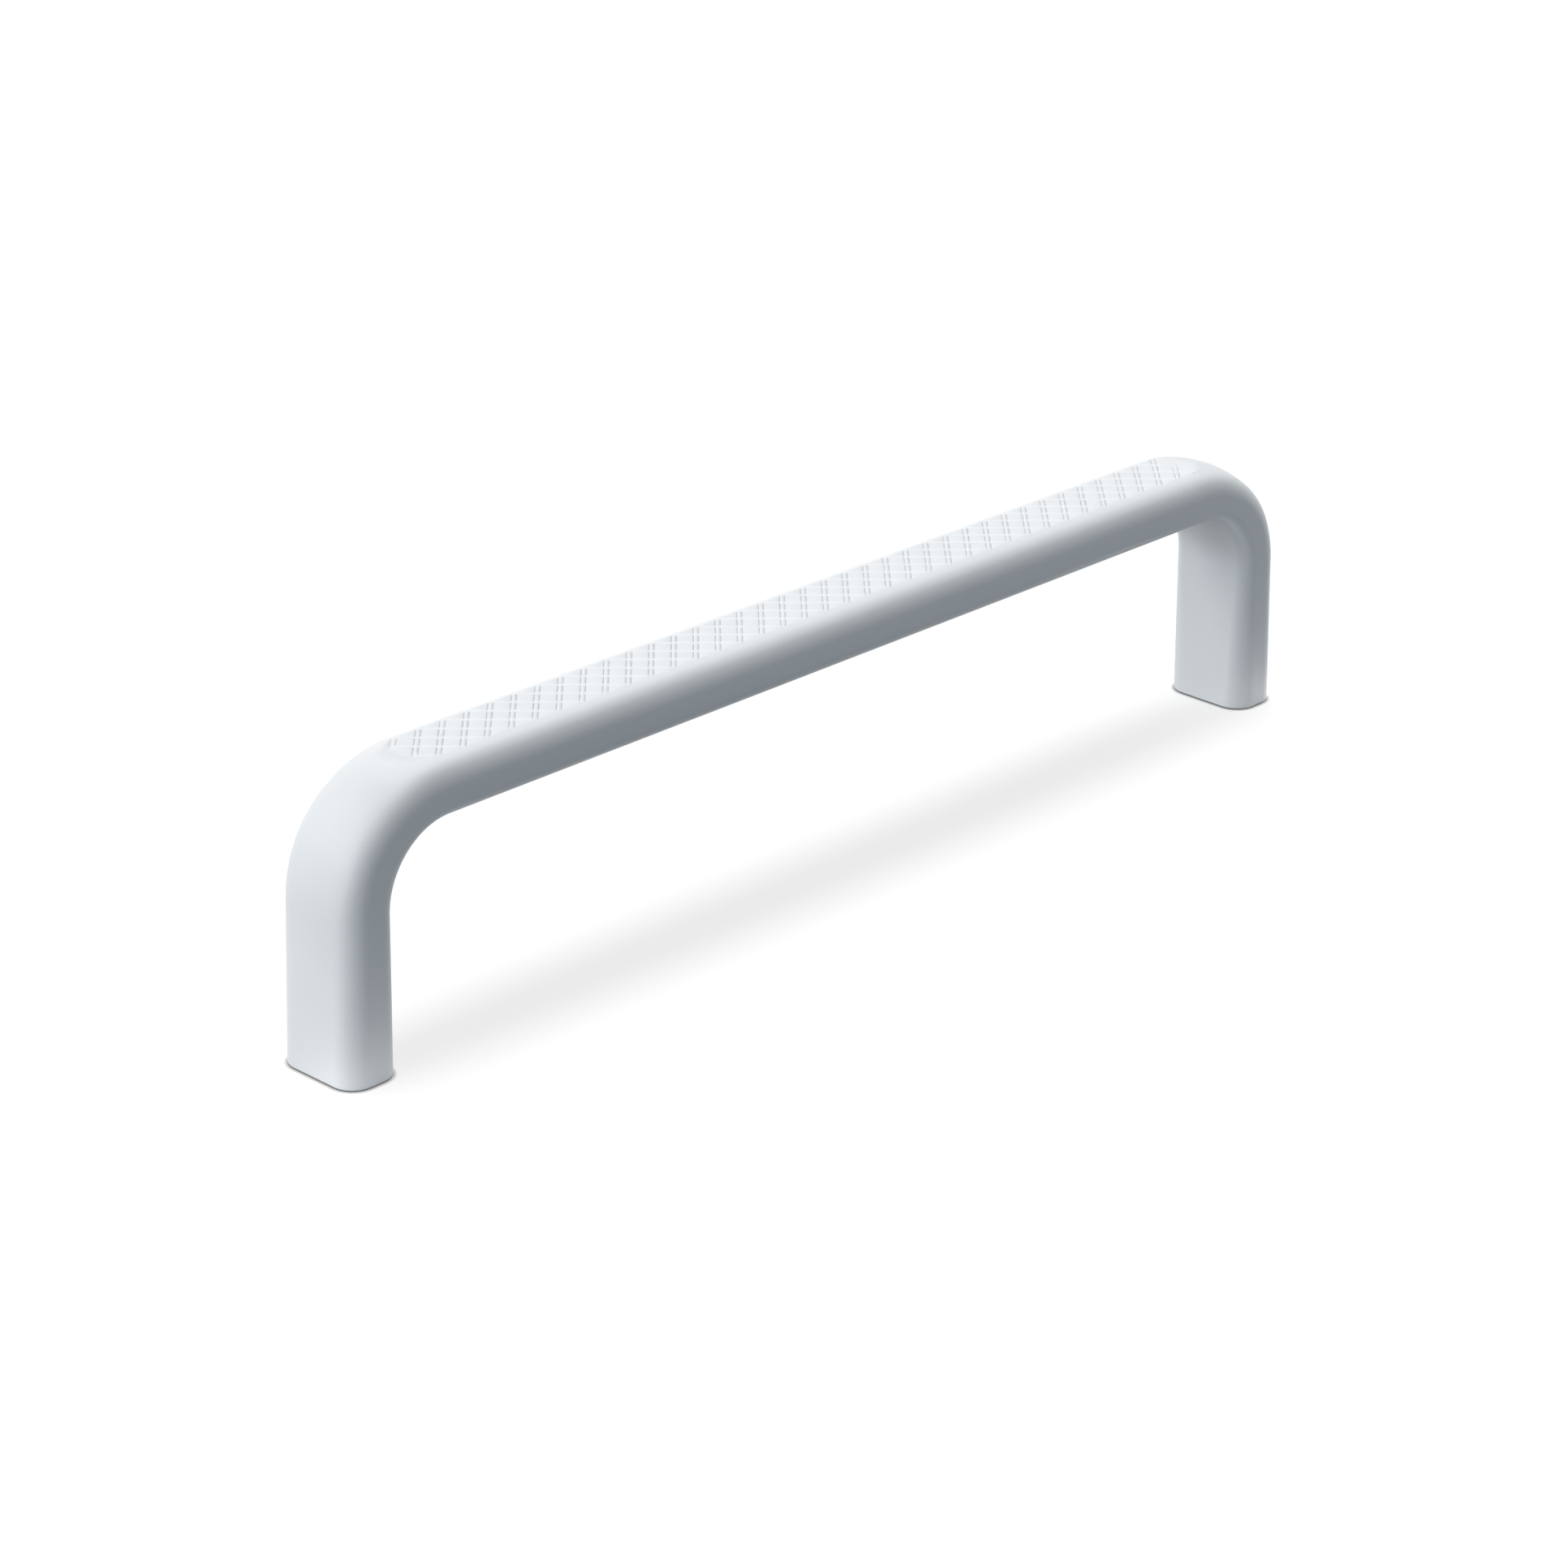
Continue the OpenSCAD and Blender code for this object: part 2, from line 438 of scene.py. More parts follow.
    def groove_indices(self):
        pitch = self.panel.diamond_pitch
        reach = self.groove_reach() + NEAR
        first = ceil((self.lattice_start - self.panel.lattice_shift - reach) / pitch)
        last = floor((self.lattice_end - self.panel.lattice_shift + reach) / pitch)
        return range(first, last + 1)

    def groove_knots(self):
        """Places across a pair of fine grooves, from its middle outwards, with the depth there."""
        panel = self.panel
        half = panel.groove_width / 2
        root = half * self.ROOT_SHARE
        return [
            (panel.groove_place - half, panel.land_depth),
            (panel.groove_place - root, panel.groove_depth),
            (panel.groove_place + root, panel.groove_depth),
            (panel.groove_place + half, 0.0),
        ]

    def pair_depth(self, distance):
        """Depth of a pair of fine grooves at a distance from its middle."""
        knots = self.groove_knots()
        if distance <= knots[0][0]:
            return knots[0][1]
        for (near, near_depth), (far, far_depth) in zip(knots, knots[1:]):
            if distance <= far:
                return near_depth + (far_depth - near_depth) * (distance - near) / (far - near)
        return 0.0

    def strip_share(self, distance):
        """One on a strip, falling to nought at its edge."""
        knots = self.groove_knots()
        near = knots[0][0]
        far = knots[-1][0]
        return clamped((far - distance) / (far - near))

    def lattice_distance(self, x, y, lean):
        """Distance from a place on the panel to the middle of the nearest line with a lean."""
        indices = self.groove_indices()
        index = round((x - self.panel.lattice_shift - lean * y) / self.panel.diamond_pitch)
        index = max(indices[0], min(indices[-1], index))
        offset, start, end = self.groove_span(index, lean)
        if y < start - VERY_NEAR or y > end + VERY_NEAR:
            return self.panel.diamond_pitch
        return abs(x - lean * y - offset) / sqrt(2)

    def groove_depth_at(self, x, y):
        """Depth at a place on the panel, where shallow strips break up the grooves that they cross."""
        strip = self.strip_share(self.lattice_distance(x, y, -1))
        groove = self.pair_depth(self.lattice_distance(x, y, 1)) * (1 - strip)
        return max(groove, strip * self.panel.strip_depth)

    def painted_shade_and_highlight_at(self, x, y, z):
        """Painted shade and highlight of the panel at a place: painted shade at the root of a groove, a
        painted highlight on a strip and painted shade where the panel runs out.
        """
        land = self.panel.land_depth
        depth = min(self.top, self.round_height(x, y)) - z
        share = max(0.0, depth - land) / (self.panel.groove_depth - land)
        # The painted shade of the grooves fades out towards the ends of the panel
        share *= clamped((self.crescent_x(y) - abs(x)) / self.PAINTED_GROOVE_END_FADE)
        strip = self.strip_share(self.lattice_distance(x, y, -1)) if depth > NEAR else 0.0
        return 1.0 - self.PAINTED_GROOVE_SHADE * share + self.PAINTED_STRIP_HIGHLIGHT * strip - self.painted_end_shade(x, y)

    def crescent_x(self, y):
        """Where the flat panel runs out on a bend, at a place across the bar."""
        reach = self.outer_r - self.edge_drop(y)
        level = self.top - self.bend_z
        return self.bend_x + sqrt(max(0.0, reach * reach - level * level))

    def painted_end_shade(self, x, y):
        """Painted soft shade along the line where the panel runs out on a bend."""
        across = abs(y) / self.across(self.crease_turn)
        if across >= 1.0:
            return 0.0
        away = abs(abs(x) - self.crescent_x(y)) / self.PAINTED_END_BAND
        return self.PAINTED_END_DARKNESS * max(0.0, 1.0 - away) * (1.0 - across ** self.PAINTED_END_POWER)

    def round_height(self, x, y):
        """Height of the round of the bar and bends before it is planed."""
        reach = self.outer_r - self.edge_drop(y)
        past = max(0.0, abs(x) - self.bend_x)
        return self.bend_z + sqrt(max(0.0, reach * reach - past * past))

    def top_height(self, x, y):
        """Height of the outer face: the round of the bar and bends, planed flat and grooved."""
        return min(self.round_height(x, y), self.top - self.groove_depth_at(x, y))


PAINTED_LIGHT_ATTRIBUTE = "painted_shade_and_highlight"
# Rounding and slack of the plan, in millimetres
PLAN_DECIMALS = 3
PLAN_SLACK = 0.001
# Output type of the cut: the drawn lines and their crossings
CUT_BY_LINES = 3


class PlanLines:
    """Lines in plan, in millimetres, from which the faces of the outer face are cut."""

    def __init__(self):
        self.points = []
        self.edges = []

    def point(self, x, y):
        place = (x * MILLIMETRES, y * MILLIMETRES)
        self.points.append(Vector([round(value, PLAN_DECIMALS) for value in place]))
        return len(self.points) - 1

    def line(self, places):
        previous = None
        for x, y in places:
            index = self.point(x, y)
            if previous is not None:
                self.edges.append((previous, index))
            previous = index


def bow_stations(form):
    """Sections along the bow from the left foot to the right foot, each with a zone name."""
    bends = floor(pi / 2 / form.BEND_STEP)
    half = [("bend", form.BEND_STEP * step) for step in range(1, bends + 1)]
    if half[-1][1] < pi / 2 - NEAR:
        half.append(("bend", pi / 2))
    half += [("leg", step / form.LEG_STEPS) for step in range(1, form.LEG_STEPS + 1)]
    half += [("foot", pi / 2 * step / form.FOOT_STEPS) for step in range(1, form.FOOT_STEPS + 1)]
    stations = [(zone, -1, value) for zone, value in reversed(half)]
    stations += [("bar", 0, x) for x in form.bar_places()]
    stations += [(zone, 1, value) for zone, value in half]
    return stations


def station_point(form, station, point):
    zone, side, value = station
    if zone == "bar":
        return form.on_bar(value, point)
    if zone == "bend":
        return form.on_bend(side, value, point)
    if zone == "leg":
        return form.on_leg(side, value, point)
    return form.on_foot_edge(side, value, point)


def is_under_panel(form, station):
    """Whether the outer face of a section belongs to the panel's own faces."""
    zone, side, value = station
    if zone == "bar":
        return True
    return zone == "bend" and value < form.END_TURN - NEAR


def without_repeats(corners):
    """The corners in their order, each only once."""
    kept = []
    for corner in corners:
        if corner not in kept:
            kept.append(corner)
    return kept


def sweep_bow(form, mesh, stations, ring):
    """Makes the swept faces of the bow, and returns its corners by section and ring point."""
    corners = {}
    for s, station in enumerate(stations):
        for r, point in enumerate(ring):
            hidden = point[0] == "outer" and point[2] < form.JOIN_TURN - NEAR
            if hidden and is_under_panel(form, station):
                continue
            corners[s, r] = mesh.verts.new(station_point(form, station, point))
    for s in range(len(stations) - 1):
        for r in range(len(ring)):
            after = (r + 1) % len(ring)
            keys = [(s, r), (s + 1, r), (s + 1, after), (s, after)]
            if all(key in corners for key in keys):
                mesh.faces.new([corners[key] for key in keys])
    return corners


def join_rings(mesh, first, second):
    """Makes the faces between two closed rings of corners."""
    count = len(first)
    for step in range(count):
        after = (step + 1) % count
        mesh.faces.new([first[step], first[after], second[after], second[step]])


def bend_place(form, side, bend_turn, edge_side, edge_turn):
    """Place in plan of a point on the outer face of a bend."""
    place = form.on_bend(side, bend_turn, ("outer", edge_side, edge_turn))
    return place.x, place.y


def rim_lines(form, lines, bend_turns):
    """Draws the edge rounds on both sides of the panel."""
    first = form.crease_turn - NEAR
    last = form.JOIN_TURN - NEAR
    joins = [turn for turn in form.outer_turns if first <= turn < last]
    outer = form.groove_reach()
    join = form.across(form.JOIN_TURN)
    for edge_side in (-1, 1):
        for turn in joins:
            left = [bend_place(form, -1, bend, edge_side, turn) for bend in reversed(bend_turns)]
            right = [bend_place(form, 1, bend, edge_side, turn) for bend in bend_turns]
            lines.line(left + right)
        rim = edge_side * form.across(form.crease_turn - form.CREASE_SOFT)
        lines.line([(-form.bend_x, rim), (form.bend_x, rim)])
        for x in form.bar_places():
            lines.line([(x, edge_side * outer), (x, edge_side * join)])


def end_lines(form, lines, bend_turns):
    """Draws the start of both bends and the crescents where the panel runs out on them."""
    turns = [turn for turn in form.outer_turns if turn < form.JOIN_TURN + NEAR]
    rim = form.across(form.crease_turn)
    steps = form.CRESCENT_STEPS
    for side in (-1, 1):
        for bend in bend_turns[1:]:
            places = []
            for edge_side in (-1, 1):
                row = [bend_place(form, side, bend, edge_side, turn) for turn in turns]
                places += reversed(row) if edge_side < 0 else row
            lines.line(places)
        # Lines on both sides of each crescent carry the painted shade of its band
        for shift in (-form.PAINTED_END_BAND, 0.0, form.PAINTED_END_BAND):
            ends = [rim * step / steps for step in range(-steps, steps + 1)]
            lines.line([(side * (form.crescent_x(y) + shift), y) for y in ends])
        for edge_side in (-1, 1):
            for turn in turns:
                if turn > form.crease_turn - NEAR:
                    break
                y = edge_side * form.across(turn)
                x = form.crescent_x(y)
                row = [(side * x, y)]
                for bend in bend_turns:
                    place = bend_place(form, side, bend, edge_side, turn)
                    if abs(place[0]) > x + LEAST_LINE:
                        row.append(place)
                lines.line(row)


def groove_lines(form, lines):
    """Draws the grooves and the strips of the lattice."""
    for lean in (-1, 1):
        for index in form.groove_indices():
            offset, start, end = form.groove_span(index, lean)
            for half, _ in form.groove_knots():
                for sign in (-1, 1):
                    shift = offset + sign * half * sqrt(2)
                    lines.line([(shift + lean * start, start), (shift + lean * end, end)])


def crossing_lines(form, lines):
    """Draws the mitres where the grooves and the strips of the lattice cross."""
    half_pitch = form.panel.diamond_pitch / 2
    knots = form.groove_knots()
    near = knots[0][0] * sqrt(2)
    far = knots[-1][0] * sqrt(2)
    for column in range(form.first_column, form.last_column + 1):
        at_end = column in (form.first_column, form.last_column)
        x = column * half_pitch + form.panel.lattice_shift
        for row in range(-form.CROSSING_ROWS, form.CROSSING_ROWS + 1):
            if (column + row) % 2:
                continue
            y = row * half_pitch
            for dx, dy in ((1, 0), (-1, 0), (0, 1), (0, -1)):
                past_rim = abs(y + dy * far) > form.groove_reach()
                if past_rim or (at_end and dx == 0):
                    continue
                lines.line([(x + dx * near, y + dy * near), (x + dx * far, y + dy * far)])


def panel_lines(form, lines):
    """Draws the lines of the panel, its grooves and the edge rounds beside it."""
    bends = ceil(form.END_TURN / form.BEND_STEP - NEAR)
    bend_turns = [step * form.BEND_STEP for step in range(bends)] + [form.END_TURN]
    rim_lines(form, lines, bend_turns)
    end_lines(form, lines, bend_turns)
    groove_lines(form, lines)
    crossing_lines(form, lines)


def panel_faces(form, mesh, stations, ring, corners):
    """Makes the outer face between the two bends as one skin that shares the swept corners."""
    skin = form.JOIN_TURN + NEAR
    upper = [r for r, point in enumerate(ring) if point[0] == "outer" and point[2] < skin]
    joins = [r for r in upper if abs(ring[r][2] - form.JOIN_TURN) < NEAR]
    front_join = [r for r in joins if ring[r][1] < 0][0]
    back_join = [r for r in joins if ring[r][1] > 0][0]
    arc = [r for r in upper if r >= front_join] + [r for r in upper if r <= back_join]
    zone = [s for s, station in enumerate(stations) if is_under_panel(form, station)]
    first = zone[0] - 1
    last = zone[-1] + 1
    loop = [(s, front_join) for s in range(first, last)]
    loop += [(last, r) for r in arc]
    loop += [(s, back_join) for s in range(last - 1, first, -1)]
    loop += [(first, r) for r in reversed(arc)][:-1]

    lines = PlanLines()
    rim = [corners[key] for key in loop]
    for corner in rim:
        lines.point(corner.co.x, corner.co.y)
    for index in range(len(rim)):
        lines.edges.append((index, (index + 1) % len(rim)))
    panel_lines(form, lines)

    cut = delaunay_2d_cdt(lines.points, lines.edges, [], CUT_BY_LINES, PLAN_SLACK, True)
    places = cut[0]
    faces = cut[2]
    sources = cut[3]
    painted_light_layer = mesh.verts.layers.float[PAINTED_LIGHT_ATTRIBUTE]
    made = []
    for place, source in zip(places, sources):
        shared = [index for index in source if index < len(rim)]
        if shared:
            made.append(rim[shared[0]])
        else:
            x = place.x / MILLIMETRES
            y = place.y / MILLIMETRES
            corner = mesh.verts.new((x, y, form.top_height(x, y)))
            # Painted shade and highlight of the lattice at this corner
            corner[painted_light_layer] = form.painted_shade_and_highlight_at(x, y, corner.co.z)
            made.append(corner)
    for face in faces:
        corners_of_face = without_repeats([made[index] for index in face])
        outside = all(corner in rim for corner in corners_of_face)
        if len(corners_of_face) > 2 and not outside:
            mesh.faces.new(corners_of_face)


def pocket_profile(form):
    """Profile of the pocket for a bush, as radius and height, from its mouth to its end."""
    bush = form.bush
    radius = bush.thread_diameter / 2 + bush.wall + bush.gap
    mouth = radius - bush.chamfer
    neck = radius - bush.neck_depth
    start = bush.set_back
    end = start + bush.length + bush.gap
    neck_start = start + (bush.length - bush.neck_width) / 2 + bush.gap
    neck_end = neck_start + bush.neck_width - 2 * bush.gap
    return [
        (mouth + bush.gap, 0.0),
        (mouth, bush.gap),
        (mouth, start),
        (radius, start + bush.chamfer),
        (radius, neck_start),
        (neck, neck_start),
        (neck, neck_end),
        (radius, neck_end),
        (radius, end - bush.chamfer),
        (mouth, end),
    ]


def close_foot(form, mesh, side, edge_ring):
    """Closes the underside of a foot round its pocket."""
    axis_x = side * form.sizes.hole_pitch / 2
    angles = [atan2(corner.co.y, corner.co.x - axis_x) for corner in edge_ring]
    previous = edge_ring
    for radius, height in pocket_profile(form):
        current = []
        for angle in angles:
            current.append(mesh.verts.new((axis_x + radius * cos(angle), radius * sin(angle), height)))
        join_rings(mesh, previous, current)
        previous = current
    mesh.faces.new(previous)


def bow_mesh(form):
    mesh = bmesh.new()
    stations = bow_stations(form)
    ring = form.ring()
    painted_light_layer = mesh.verts.layers.float.new(PAINTED_LIGHT_ATTRIBUTE)
    corners = sweep_bow(form, mesh, stations, ring)
    panel_faces(form, mesh, stations, ring, corners)
    close_foot(form, mesh, -1, [corners[0, r] for r in range(len(ring))])
    last = len(stations) - 1
    close_foot(form, mesh, 1, [corners[last, r] for r in range(len(ring))])
    # Corners away from the panel get no painted shade or highlight
    for corner in mesh.verts:
        corner[painted_light_layer] = corner[painted_light_layer] or 1.0
    return mesh


def finish_mesh(mesh, name):
    """Turns a closed mesh into a smooth shaded one with its faces outwards."""
    bmesh.ops.recalc_face_normals(mesh, faces=mesh.faces[:])
    open_edges = [edge for edge in mesh.edges if len(edge.link_faces) != 2]
    if open_edges:
        raise RuntimeError("%s is not closed at %d edges" % (name, len(open_edges)))
    data = bpy.data.meshes.new(name)
    mesh.to_mesh(data)
    mesh.free()
    data.shade_smooth()
    return data


def add_piece(name, data, node, finish):
    piece = bpy.data.objects.new(name, data)
    bpy.context.scene.collection.objects.link(piece)
    data.materials.append(finish)
    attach(piece, "root")
    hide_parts(node)
    return piece


EVEN_WEIGHT = 50


def soften_normals(piece):
    """Lets the large faces lead the shading, so that flats stay flat up to their edges."""
    weighted = piece.modifiers.new("even_shading", "WEIGHTED_NORMAL")
    weighted.mode = "FACE_AREA"
    weighted.weight = EVEN_WEIGHT
    weighted.keep_sharp = True


def node_at(tree, kind, x, y):
    node = tree.nodes.new(kind)
    node.location = (x, y)
    return node


def wire(tree, *joints):
    """Joins sockets, each given as a node, its output, the next node and its input."""
    for source, output, target, entry in joints:
        tree.links.new(source.outputs[output], target.inputs[entry])


def empty_finish(name):
    finish = bpy.data.materials.new(name)
    finish.use_nodes = True
    finish.node_tree.nodes.clear()
    return finish


def shade_of(colour, factor):
    return (colour[0] * factor, colour[1] * factor, colour[2] * factor, 1.0)


def maths(tree, operation, x, y, second=None):
    """Math node with an operation and, where it is fixed, its second value."""
    node = node_at(tree, "ShaderNodeMath", x, y)
    node.operation = operation
    if second is not None:
        node.inputs[1].default_value = second
    return node


def noise(tree, x, y, scale, detail):
    node = node_at(tree, "ShaderNodeTexNoise", x, y)
    node.inputs["Scale"].default_value = scale
    node.inputs["Detail"].default_value = detail
    return node


def map_range(tree, x, y, source, target):
    """Map Range node from one pair of ends to another."""
    node = node_at(tree, "ShaderNodeMapRange", x, y)
    for word, ends in (("From", source), ("To", target)):
        node.inputs[word + " Min"].default_value = ends[0]
        node.inputs[word + " Max"].default_value = ends[1]
    return node


# Where most of the values of a noise lie
NOISE_ENDS = (0.3, 0.7)


def tone_ramp(tree, x, y, colour, factors):
    """Ramp between two shades of a colour over the values of a noise."""
    node = node_at(tree, "ShaderNodeValToRGB", x, y)
    for element, position, factor in zip(node.color_ramp.elements, NOISE_ENDS, factors):
        element.position = position
        element.color = shade_of(colour, factor)
    return node


# How far the roughness of a finish strays below and above its middle
POLYMER_STRAY = (0.03, 0.03)
BRASS_STRAY = (0.08, 0.12)


def gloss_range(tree, source, middle, stray):
    """Map Range node from the values of a noise to a roughness about its middle."""
    return map_range(tree, -700, 0, source, (middle - stray[0], middle + stray[1]))


def bump(tree, x, y, strength, distance):
    node = node_at(tree, "ShaderNodeBump", x, y)
    node.inputs["Strength"].default_value = strength
    node.inputs["Distance"].default_value = distance
    return node


def join_surface(tree, colour, roughness, relief):
    """Adds the surface and the output, and gives it a colour, a roughness and a relief."""
    surface = node_at(tree, "ShaderNodeBsdfPrincipled", -400, 0)
    out = node_at(tree, "ShaderNodeOutputMaterial", -100, 0)
    tree.links.new(colour, surface.inputs["Base Color"])
    wire(
        tree,
        (roughness, "Result", surface, "Roughness"),
        (relief, "Normal", surface, "Normal"),
        (surface, "BSDF", out, "Surface"),
    )
    return surface


def satin_polymer(finishes):
    """White moulded polymer with a fine satin grain, a faint mottle, painted shade in the grooves and a
    painted highlight on the strips of the lattice.
    """
    finish = empty_finish("satin_polymer")
    tree = finish.node_tree
    place = node_at(tree, "ShaderNodeTexCoord", -1200, 0)
    mottle = noise(tree, -950, 250, scale=90, detail=3)
    grain = noise(tree, -950, -250, scale=4200, detail=2)
    tone = tone_ramp(tree, -700, 250, finishes.polymer_colour, factors=(0.985, 1.005))
    gloss = gloss_range(tree, NOISE_ENDS, finishes.polymer_roughness, POLYMER_STRAY)
    # Painted shade and highlight of the lattice, carried on the mesh, scale the colour
    lattice = node_at(tree, "ShaderNodeAttribute", -700, 500)
    lattice.attribute_name = PAINTED_LIGHT_ATTRIBUTE
    shaded = node_at(tree, "ShaderNodeVectorMath", -550, 350)
    shaded.operation = "SCALE"
    relief = bump(tree, -700, -250, strength=0.06, distance=0.00003)
    surface = join_surface(tree, shaded.outputs["Vector"], gloss, relief)
    surface.inputs["IOR"].default_value = 1.5
    wire(
        tree,
        (place, "Object", mottle, "Vector"),
        (place, "Object", grain, "Vector"),
        (mottle, "Fac", tone, "Fac"),
        (mottle, "Fac", gloss, "Value"),
        (grain, "Fac", relief, "Height"),
        (tone, "Color", shaded, "Vector"),
        (lattice, "Fac", shaded, "Scale"),
    )
    return finish


def turned_brass(finishes):
    """Brass with fine rings left by the lathe and a slight tarnish."""
    finish = empty_finish("turned_brass")
    tree = finish.node_tree
    place = node_at(tree, "ShaderNodeTexCoord", -1400, 0)
    rings = node_at(tree, "ShaderNodeMapping", -1200, -200)
    rings.inputs["Scale"].default_value = (60, 60, 9000)
    marks = noise(tree, -950, -200, scale=1, detail=3)
    stain = noise(tree, -950, 250, scale=700, detail=4)
    tone = tone_ramp(tree, -700, 250, finishes.brass_colour, factors=(0.86, 1.06))
    gloss = gloss_range(tree, (0.0, 1.0), finishes.brass_roughness, BRASS_STRAY)
    relief = bump(tree, -700, -250, strength=0.25, distance=0.00002)
    surface = join_surface(tree, tone.outputs["Color"], gloss, relief)
    surface.inputs["Metallic"].default_value = 1.0
    wire(
        tree,
        (place, "Object", rings, "Vector"),
        (rings, "Vector", marks, "Vector"),
        (place, "Object", stain, "Vector"),
        (stain, "Fac", tone, "Fac"),
        (marks, "Fac", gloss, "Value"),
        (marks, "Fac", relief, "Height"),
    )
    return finish


class HANDLE_OT_bow(Operator):
    """Make the moulded bow with its diamond grip panel"""

    bl_idname = "handle.bow"
    bl_label = "Moulded bow"

    def execute(self, context):
        scene = context.scene
        form = BowForm(scene.bow_sizes, scene.panel_sizes, scene.bush_sizes)
        data = finish_mesh(bow_mesh(form), "moulded_bow")
        finish = satin_polymer(scene.finishes)
        piece = add_piece("moulded_bow", data, "handle_bow", finish)
        soften_normals(piece)
        return {"FINISHED"}


class BushForm:
    """Rings of a threaded bush, from its sizes."""

    AROUND = 96
    THREAD_ROWS = 8
    DRILL_POINT = radians(59)
    # Parts of the thread's pitch
    ROOT_FLAT = 0.125
    FLANK = 0.3125
    CREST_FLAT = 0.25
    # Share of the pitch within which a turn of the thread closes on the end of the hole
    CLOSE_TURN = 0.02

    def __init__(self, bush, axis_x):
        self.bush = bush
        self.axis_x = axis_x
        self.outer_r = bush.thread_diameter / 2 + bush.wall
        self.thread_r = bush.thread_diameter / 2
        self.core_r = (bush.thread_diameter - bush.thread_pitch) / 2
        self.mouth_z = bush.set_back
        self.end_z = bush.set_back + bush.length
        point_height = self.core_r / tan(self.DRILL_POINT)
        self.tip_z = self.end_z - bush.end_wall
        self.core_end_z = self.tip_z - point_height

    def place(self, radius, step, height):
        angle = 2 * pi * step / self.AROUND
        return (self.axis_x + radius * cos(angle), radius * sin(angle), height)

    def thread_radius(self, phase, height):
        """Radius of the tapped hole at a phase of its thread and a height."""
        phase %= 1.0
        rise = self.thread_r - self.core_r
        flank_end = self.ROOT_FLAT + self.FLANK
        crest_end = flank_end + self.CREST_FLAT
        if phase < self.ROOT_FLAT:
            share = 1.0
        elif phase < flank_end:
            share = 1.0 - (phase - self.ROOT_FLAT) / self.FLANK
        elif phase < crest_end:
            share = 0.0
        else:
            share = (phase - crest_end) / self.FLANK
        fade = clamped((self.core_end_z - height) / self.bush.thread_pitch)
        countersink = self.thread_r - (height - self.mouth_z)
        return max(self.core_r + rise * share * fade, countersink)

    def outside(self):
        """Profile of the outside from the mouth to the far end: radius, height and knurl share."""
        bush = self.bush
        neck_start = self.mouth_z + (bush.length - bush.neck_width) / 2
        neck_end = neck_start + bush.neck_width
        neck_r = self.outer_r - bush.neck_depth
        chamfer_r = self.outer_r - bush.chamfer
        rows = [(chamfer_r, self.mouth_z, 0)]
        rows += self.knurled_land(self.mouth_z + bush.chamfer, neck_start)
        rows += [(neck_r, neck_start, 0), (neck_r, neck_end, 0)]
        rows += self.knurled_land(neck_end, self.end_z - bush.chamfer)
        rows.append((chamfer_r, self.end_z, 0))
        return rows

    def knurled_land(self, start, end):
        """Part of the outside between two heights, where the knurl runs out at both ends."""
        lead = self.bush.chamfer
        heights = [(start, 0), (start + lead / 2, 0), (start + lead, 1)]
        heights += [(end - lead, 1), (end - lead / 2, 0), (end, 0)]
        return [(self.outer_r, height, share) for height, share in heights]

    def knurled(self, radius, share, step):
        steps_per_tooth = self.AROUND // self.bush.knurl_teeth
        in_valley = step % steps_per_tooth >= steps_per_tooth / 2
        return radius - self.bush.knurl_depth * share * in_valley


def thread_grid(form, mesh, mouth, end_ring):
    """Corners of the tapped hole, by row along the thread and step round it, and the number of rows."""
    pitch = form.bush.thread_pitch
    rows_per_turn = form.THREAD_ROWS
    rows = int((form.core_end_z - form.mouth_z) / pitch * rows_per_turn) + 2
    close = pitch * form.CLOSE_TURN
    grid = {}
    for row in range(-rows_per_turn, rows + 1):
        for step in range(form.AROUND + 1):
            height = form.mouth_z + pitch * (row / rows_per_turn + step / form.AROUND)
            column = step % form.AROUND
            if height < form.mouth_z + close:
                grid[row, step] = mouth[column]
            elif height > form.core_end_z - close:
                grid[row, step] = end_ring[column]
            elif step < form.AROUND:
                radius = form.thread_radius(row / rows_per_turn, height)
                grid[row, step] = mesh.verts.new(form.place(radius, step, height))
    for row in range(-rows_per_turn, rows + 1):
        key = (row, form.AROUND)
        if key not in grid:
            grid[key] = grid.get((row + rows_per_turn, 0), end_ring[0])
    return grid, rows


def bush_mesh(form):
    mesh = bmesh.new()
    around = range(form.AROUND)
    mouth = [mesh.verts.new(form.place(form.thread_r, step, form.mouth_z)) for step in around]
    previous = mouth
    for radius, height, share in form.outside():
        current = []
        for step in around:
            current.append(mesh.verts.new(form.place(form.knurled(radius, share, step), step, height)))
        join_rings(mesh, previous, current)
        previous = current
    mesh.faces.new(previous)

    end_ring = [mesh.verts.new(form.place(form.core_r, step, form.core_end_z)) for step in around]
    grid, rows = thread_grid(form, mesh, mouth, end_ring)
    for row in range(-form.THREAD_ROWS, rows):
        for step in around:
            keys = [(row, step), (row, step + 1), (row + 1, step + 1), (row + 1, step)]
            face = without_repeats([grid[key] for key in keys])
            if len(face) > 2:
                mesh.faces.new(face)
    tip = mesh.verts.new((form.axis_x, 0.0, form.tip_z))
    for step in around:
        after = (step + 1) % form.AROUND
        mesh.faces.new([end_ring[step], end_ring[after], tip])
    return mesh


BUSHES = (("brass_bush_left", "left_bush", -1), ("brass_bush_right", "right_bush", 1))


class HANDLE_OT_bushes(Operator):
    """Make the two threaded brass bushes in the feet"""

    bl_idname = "handle.bushes"
    bl_label = "Threaded bushes"

    def execute(self, context):
        scene = context.scene
        finish = turned_brass(scene.finishes)
        half_pitch = scene.bow_sizes.hole_pitch / 2
        for name, node, side in BUSHES:
            form = BushForm(scene.bush_sizes, side * half_pitch)
            data = finish_mesh(bush_mesh(form), name)
            piece = add_piece(name, data, node, finish)
            soften_normals(piece)
        return {"FINISHED"}


